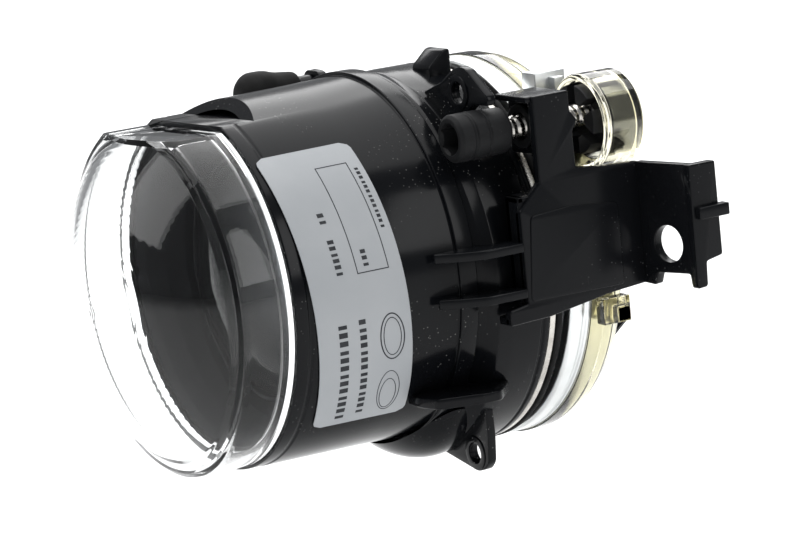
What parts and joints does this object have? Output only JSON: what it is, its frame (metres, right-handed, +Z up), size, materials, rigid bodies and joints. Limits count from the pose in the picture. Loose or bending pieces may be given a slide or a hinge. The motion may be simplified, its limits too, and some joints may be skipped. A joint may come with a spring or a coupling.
{
  "type": "fog light",
  "caption": "Round front fog light with a clear domed lens, tilting projector module, aiming screw, bulb and side mounting arm.",
  "frame": {"origin": "centre of the bolt hole on the front face of the arm's flange", "axes": "+Y is the barrel axis from lens to bulb, +Z up, +X towards the adjuster side"},
  "size_m": [0.1291, 0.1404, 0.1037],
  "materials": {
    "clear_lens": "clear polycarbonate, polished",
    "rubber_black": "matte",
    "gloss_black": "glossy moulded black with fine scratches",
    "arm_black": "semi-gloss moulded black",
    "matte_black": "matte moulded",
    "matte_grey": "fine matte grain",
    "label_white": "satin printed label",
    "steel": "plated",
    "amber_clear": "slightly yellow clear plastic",
    "mirror": "vacuum-metallised",
    "module_glass": "polished",
    "brass": "plain"
  },
  "bodies": {
    "root": {"lens": "clear_lens", "lens_seal": "rubber_black", "housing": "gloss_black", "bezel": "matte_grey", "clamp_ring": "steel", "gasket": "rubber_black", "label": "label_white", "mounting_arm": "arm_black", "adjuster_bush": "matte_black", "vent_pipe": "gloss_black", "vent_cap": "rubber_black", "pivot_pin_left": "steel", "pivot_pin_right": "steel"},
    "module": {"carrier": "amber_clear", "reflector": "mirror", "adjuster_nut": "matte_black", "lens_holder": "matte_grey", "projector_lens": "module_glass", "cutoff_shield": "matte_grey"},
    "adjuster": {"adjuster_cap": "matte_black", "adjuster_screw": "steel"},
    "bulb": {"bulb_glass": "module_glass", "bulb_collar": "steel", "bulb_seal": "rubber_black", "bulb_holder": "matte_black", "terminal_left": "brass", "terminal_right": "brass"}
  },
  "joints": [
    {"name": "module_tilt", "type": "hinge", "parent": "root", "child": "module", "pos_m": [-0.06484, -0.01345, -0.0044], "axis": [1, 0, 0], "range_deg": [-2.5, 2.5]},
    {"name": "adjuster_turn", "type": "hinge", "parent": "root", "child": "adjuster", "pos_m": [-0.01934, -0.03345, 0.0319], "axis": [0, 1, 0], "range_deg": [-290, 290]},
    {"name": "bulb_twist", "type": "hinge", "parent": "module", "child": "bulb", "pos_m": [-0.06484, 0.00655, -0.0044], "axis": [0, 1, 0], "range_deg": [0, 22]}
  ],
  "couplings": [
    {"joint": "adjuster_turn", "follows": "module_tilt", "ratio": 114}
  ]
}
